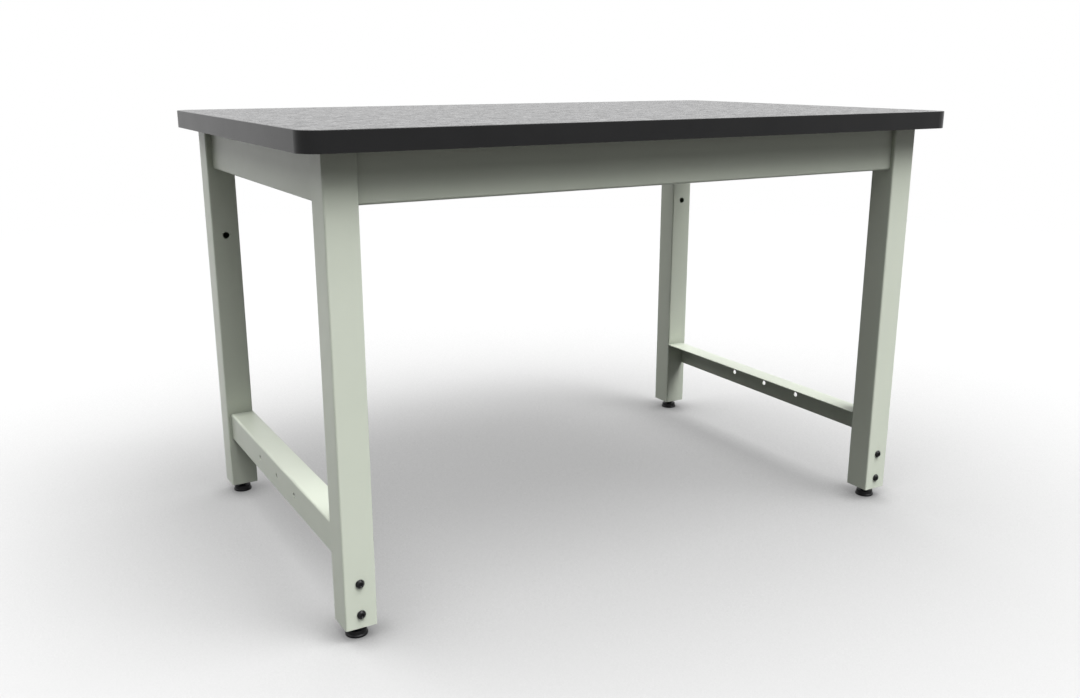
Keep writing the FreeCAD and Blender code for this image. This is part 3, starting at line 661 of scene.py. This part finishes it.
def build_bolts():
    """The bolts and screws, each seated where its CAD solid has its seat."""
    bolt = button_bolt_shape(LEG_BOLT_HEAD_RADIUS, LEG_BOLT_HEAD_HEIGHT, BOLT_RADIUS, BOLT_LENGTH)
    places = seated_in_pairs("leg_bolts", Y, 1, LEG_BOLT_HEAD_HEIGHT, (1, 0, 0))
    add_piece("button_head_bolts", set_down(bolt, places), "black_fastener", stands_for="leg_bolts")

    bolt = hexagon_bolt_shape(BOLT_FLATS, APRON_BOLT_HEAD_HEIGHT, BOLT_RADIUS, BOLT_LENGTH)
    places = seated_in_pairs("apron_bolts", X, -1, APRON_BOLT_HEAD_HEIGHT, (0, 1, 0))
    add_piece("hexagon_bolts", set_down(bolt, places), "zinc_fastener", stands_for="apron_bolts")

    screw = pan_screw_shape(SCREW_HEAD_RADIUS, SCREW_HEAD_HEIGHT, SCREW_RADIUS, SCREW_LENGTH)
    turn_of_each = math.radians(37)
    places = []
    for number, box in enumerate(solids_of("worktop_screws")):
        turn = turn_of_each * number
        places.append(seated(box, Z, -1, SCREW_HEAD_HEIGHT, (math.cos(turn), math.sin(turn), 0)))
    add_piece("pan_head_screws", set_down(screw, places), "zinc_fastener", stands_for="worktop_screws")


def build_nuts(name, node, slot, axis, across, across_flats, bore):
    """Nuts with bevelled corners in place of a node's plain ones."""
    boxes = solids_of(node)
    low, high = boxes[0]
    height = (high - low).dot(Vector(axis)) / MM
    places = [facing(middle(box), axis, across) for box in boxes]
    add_piece(name, set_down(nut_shape(across_flats, bore, height), places), slot, stands_for=node)


def weld_bead(shape, start, end, first, second):
    """A fillet weld from start to end in the corner between two faces, given by the faces' normals."""
    rows_per_ripple, arc_steps = 3, 5
    end_share, end_ripples = 0.35, 2.5
    scallop_depth, lag_share = 0.16, 0.45
    first, second = Vector(first), Vector(second)
    length = (end - start).length
    along = (end - start) / length
    ripple = WELD_RIPPLE * MM
    count = int(length / ripple * rows_per_ripple)
    rings = []
    for number in range(count + 1):
        distance = length * number / count
        run_out = min(1.0, end_share + min(distance, length - distance) / (end_ripples * ripple))
        scallop = 1.0 - scallop_depth * (2 * (distance / ripple % 1.0) - 1) ** 2
        leg = WELD_LEG * MM * run_out * scallop
        ring = [shape.verts.new(start + along * distance)]
        for step in range(arc_steps + 1):
            angle = TURN / 4 * step / arc_steps
            # The bead's face lies half way between a round one and a flat one.
            lean = 0.5 + 0.5 / (math.cos(angle) + math.sin(angle))
            lag = lag_share * ripple * (1 - math.sin(2 * angle)) * run_out
            here = start + along * min(max(distance - lag, 0.0), length)
            out = first * math.cos(angle) + second * math.sin(angle)
            ring.append(shape.verts.new(here + out * leg * lean))
        rings.append(ring)
    skin(shape, [ring + ring[:1] for ring in rings])
    shape.faces.new(rings[0])
    shape.faces.new(rings[-1][::-1])


def weld_to_legs(shape, node):
    """The welds at both ends of a rail or side apron: under its flange, and on an apron down its web."""
    from_web, from_tip = 4 * MM, 3 * MM
    from_lip, from_flange = 4 * MM, 6 * MM
    low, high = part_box(node)
    inward = 1 if low.x + high.x < 0 else -1
    outside, tip = (low.x, high.x) if inward > 0 else (high.x, low.x)
    web = outside + inward * SHEET * MM
    under = high.z - SHEET * MM
    for leg_face, away in ((low.y, 1), (high.y, -1)):
        if node.endswith("apron"):
            weld_bead(shape, Vector((web, leg_face, low.z + from_lip)),
                      Vector((web, leg_face, high.z - from_flange)), (inward, 0, 0), (0, away, 0))
        weld_bead(shape, Vector((web + inward * from_web, leg_face, under)),
                  Vector((tip - inward * from_tip, leg_face, under)), (0, 0, -1), (0, away, 0))


def weld_to_end_plates(shape, node):
    """The welds at both ends of a front or rear apron: down its web and under its flange."""
    from_lip, from_flange = 6 * MM, 6 * MM
    flange_start, flange_end = 4 * MM, 30 * MM
    low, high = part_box(node)
    inward = 1 if low.y + high.y < 0 else -1
    web = (low.y if inward > 0 else high.y) + inward * SHEET * MM
    under = high.z - SHEET * MM
    for end, away in ((low.x, 1), (high.x, -1)):
        face = end + away * END_PLATE * MM
        weld_bead(shape, Vector((face, web, low.z + from_lip)),
                  Vector((face, web, high.z - from_flange)), (away, 0, 0), (0, inward, 0))
        weld_bead(shape, Vector((face, web + inward * flange_start, under)),
                  Vector((face, web + inward * flange_end, under)), (away, 0, 0), (0, 0, -1))


def build_welds():
    """Fillet welds on the hidden sides of the welded joints, painted over with the frame."""
    shape = bmesh.new()
    for node in ("left_lower_rail", "right_lower_rail", "left_apron", "right_apron"):
        weld_to_legs(shape, node)
    for node in ("front_apron", "rear_apron"):
        weld_to_end_plates(shape, node)
    bmesh.ops.recalc_face_normals(shape, faces=shape.faces)
    add_piece("weld_beads", shape, "frame_paint")


# Floor, light and camera. Places are in metres, and the lens and its sensor in millimetres.

FLOOR_REACH = 40.0
FLOOR_COLOUR = (0.375, 0.375, 0.375)
FLOOR_BOUNCE = (0.065, 0.065, 0.065)
FLOOR_LIFT = 0.365
DOME_STRENGTH = 0.05

# How far the floor looks for what shades it, how open it is where it is darkest, and what light is left there
SHADE_REACH = 2.0
SHADE_FULL = 0.314
CONTACT_REACH = 0.05
CONTACT_FULL = 0.3
CONTACT_DARKEST = 0.6

# The floor turns white between these distances from a point under the bench.
FADE_MIDDLE = (0.1, 0.2, 0.0)
FADE_START = 1.25
FADE_END = 4.3

# Each lamp's name, azimuth from the front towards the right, elevation, strength and spread, in degrees
LAMPS = [
    ("key_high", 40, 67, 1.70, 30),
    ("key_low", 40, 47, 0.84, 26),
    ("front", 0, 60, 0.83, 30),
    ("front_wide", 0, 58, 1.28, 60),
    ("rear_left", 225, 58, 1.27, 60),
    ("left", 270, 58, 0.54, 60),
]

SENSOR_WIDTH = 36.0
LENS = 34.97
CAMERA_PLACE = (-1.0245, -1.7018, 0.8399)
CAMERA_TILT = math.radians(74.95)
CAMERA_TURN = math.radians(-30.08)


def floor_finish():
    """A pale floor, shaded under the bench, that turns into the white background far from it.

    Light that bounces meets a darker floor than the one that is seen, and lights the bench less from below.
    """
    g = surface("floor")
    g.tree.nodes.remove(g.shader)
    looked_at = g.looked_at()
    contact = g.ramp(g.openness(CONTACT_REACH, samples=6), CONTACT_FULL, 1.0, CONTACT_DARKEST, 1.0)
    shade = g.ramp(g.openness(SHADE_REACH, samples=6), SHADE_FULL, 1.0)
    shade = g.math("MULTIPLY", shade, contact)
    pale = g.blend(looked_at, FLOOR_BOUNCE, g.blend(shade, BLACK, FLOOR_COLOUR))
    diffuse = g.add("BsdfDiffuse", {"Color": pale}).outputs[0]
    lift = g.math("MULTIPLY", g.math("MULTIPLY", looked_at, contact), FLOOR_LIFT)
    lit = g.add("AddShader", {0: diffuse, 1: g.glow(lift)}).outputs[0]
    distance = g.add("VectorMath", {0: g.place, 1: FADE_MIDDLE}, operation="DISTANCE").outputs["Value"]
    far = g.math("MULTIPLY", g.ramp(distance, FADE_START, FADE_END), looked_at)
    mixed = g.add("MixShader", {0: far, 1: lit, 2: g.glow(1.0)}).outputs[0]
    g.tree.links.new(mixed, g.tree.nodes["Material Output"].inputs["Surface"])
    return g.owner


def build_floor():
    """A square floor, far wider than the camera sees."""
    corners = [(FLOOR_REACH * x, FLOOR_REACH * y, 0) for x, y in ((-1, -1), (1, -1), (1, 1), (-1, 1))]
    mesh = bpy.data.meshes.new("floor")
    mesh.from_pydata(corners, [], [(0, 1, 2, 3)])
    mesh.materials.append(floor_finish())
    floor = add_object("floor", mesh)


def build_world():
    """White to the eye and in reflections, and a plain dome of light otherwise."""
    world = bpy.data.worlds.new("studio")
    bpy.context.scene.world = world
    g = Graph(world, "Background")
    g.finish(Color=colour(WHITE), Strength=g.ramp(g.looked_at(), 0.0, 1.0, DOME_STRENGTH, 1.0))


def add_lamp(name, azimuth, elevation, strength, spread):
    """A soft lamp far away, spread over an angle."""
    around, above = math.radians(azimuth), math.radians(elevation)
    towards = (math.sin(around) * math.cos(above), -math.cos(around) * math.cos(above), math.sin(above))
    lamp = bpy.data.lights.new(name, "SUN")
    lamp.energy = strength
    lamp.angle = math.radians(spread)
    item = add_object(name, lamp)
    item.rotation_euler = Vector(towards).to_track_quat("Z", "Y").to_euler()


def build_camera():
    """The photograph's view."""
    camera = add_object("camera", bpy.data.cameras.new("camera"))
    camera.data.sensor_width = SENSOR_WIDTH
    camera.data.lens = LENS
    camera.location = CAMERA_PLACE
    camera.rotation_euler = (CAMERA_TILT, 0.0, CAMERA_TURN)
    bpy.context.scene.camera = camera


dress_nodes()
build_feet()
build_bolts()
build_welds()
build_nuts("thin_nuts", "foot_jam_nuts", "black_fastener", (0, 0, 1), (1, 0, 0), FOOT_FLATS, FOOT_NUT_BORE)
build_nuts("insert_nuts", "foot_weld_nuts", "plain_steel", (0, 0, 1), (1, 0, 0), FOOT_FLATS, FOOT_NUT_BORE)
build_nuts("leg_nuts", "leg_bolt_nuts", "plain_steel", (0, 1, 0), (1, 0, 0), BOLT_FLATS, BOLT_NUT_BORE)
build_nuts("apron_nuts", "apron_bolt_nuts", "plain_steel", (1, 0, 0), (0, 1, 0), BOLT_FLATS, BOLT_NUT_BORE)

build_floor()
build_world()
for lamp_settings in LAMPS:
    add_lamp(*lamp_settings)
build_camera()
bpy.context.scene.view_settings.view_transform = "Standard"
